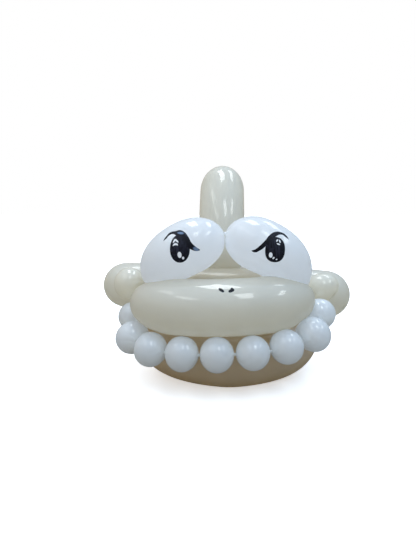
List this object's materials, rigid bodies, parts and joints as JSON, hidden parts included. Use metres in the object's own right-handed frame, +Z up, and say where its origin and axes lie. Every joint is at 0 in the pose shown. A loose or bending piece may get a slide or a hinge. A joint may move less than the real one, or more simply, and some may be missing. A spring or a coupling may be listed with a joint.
{
  "type": "balloon shark",
  "caption": "Standing shark twisted from long latex modelling balloons, with an open toothed mouth, drawn eyes and a swept-back fin.",
  "frame": {"origin": "on the floor, under the middle of the shark's box", "axes": "+Z up; the nose points along -Y and the tail along +Y; +X is the shark's own left"},
  "size_m": [0.3147, 0.4121, 0.248],
  "materials": {
    "ivory_latex": "glossy",
    "white_latex": "glossy"
  },
  "bodies": {
    "root": {"upper_lip": "ivory_latex", "snout_bridge": "ivory_latex", "lower_jaw": "ivory_latex", "teeth": "white_latex", "eyes": "white_latex", "dorsal_fin": "ivory_latex", "pectoral_fins": "ivory_latex", "body": "ivory_latex", "tail": "ivory_latex"}
  },
  "joints": []
}
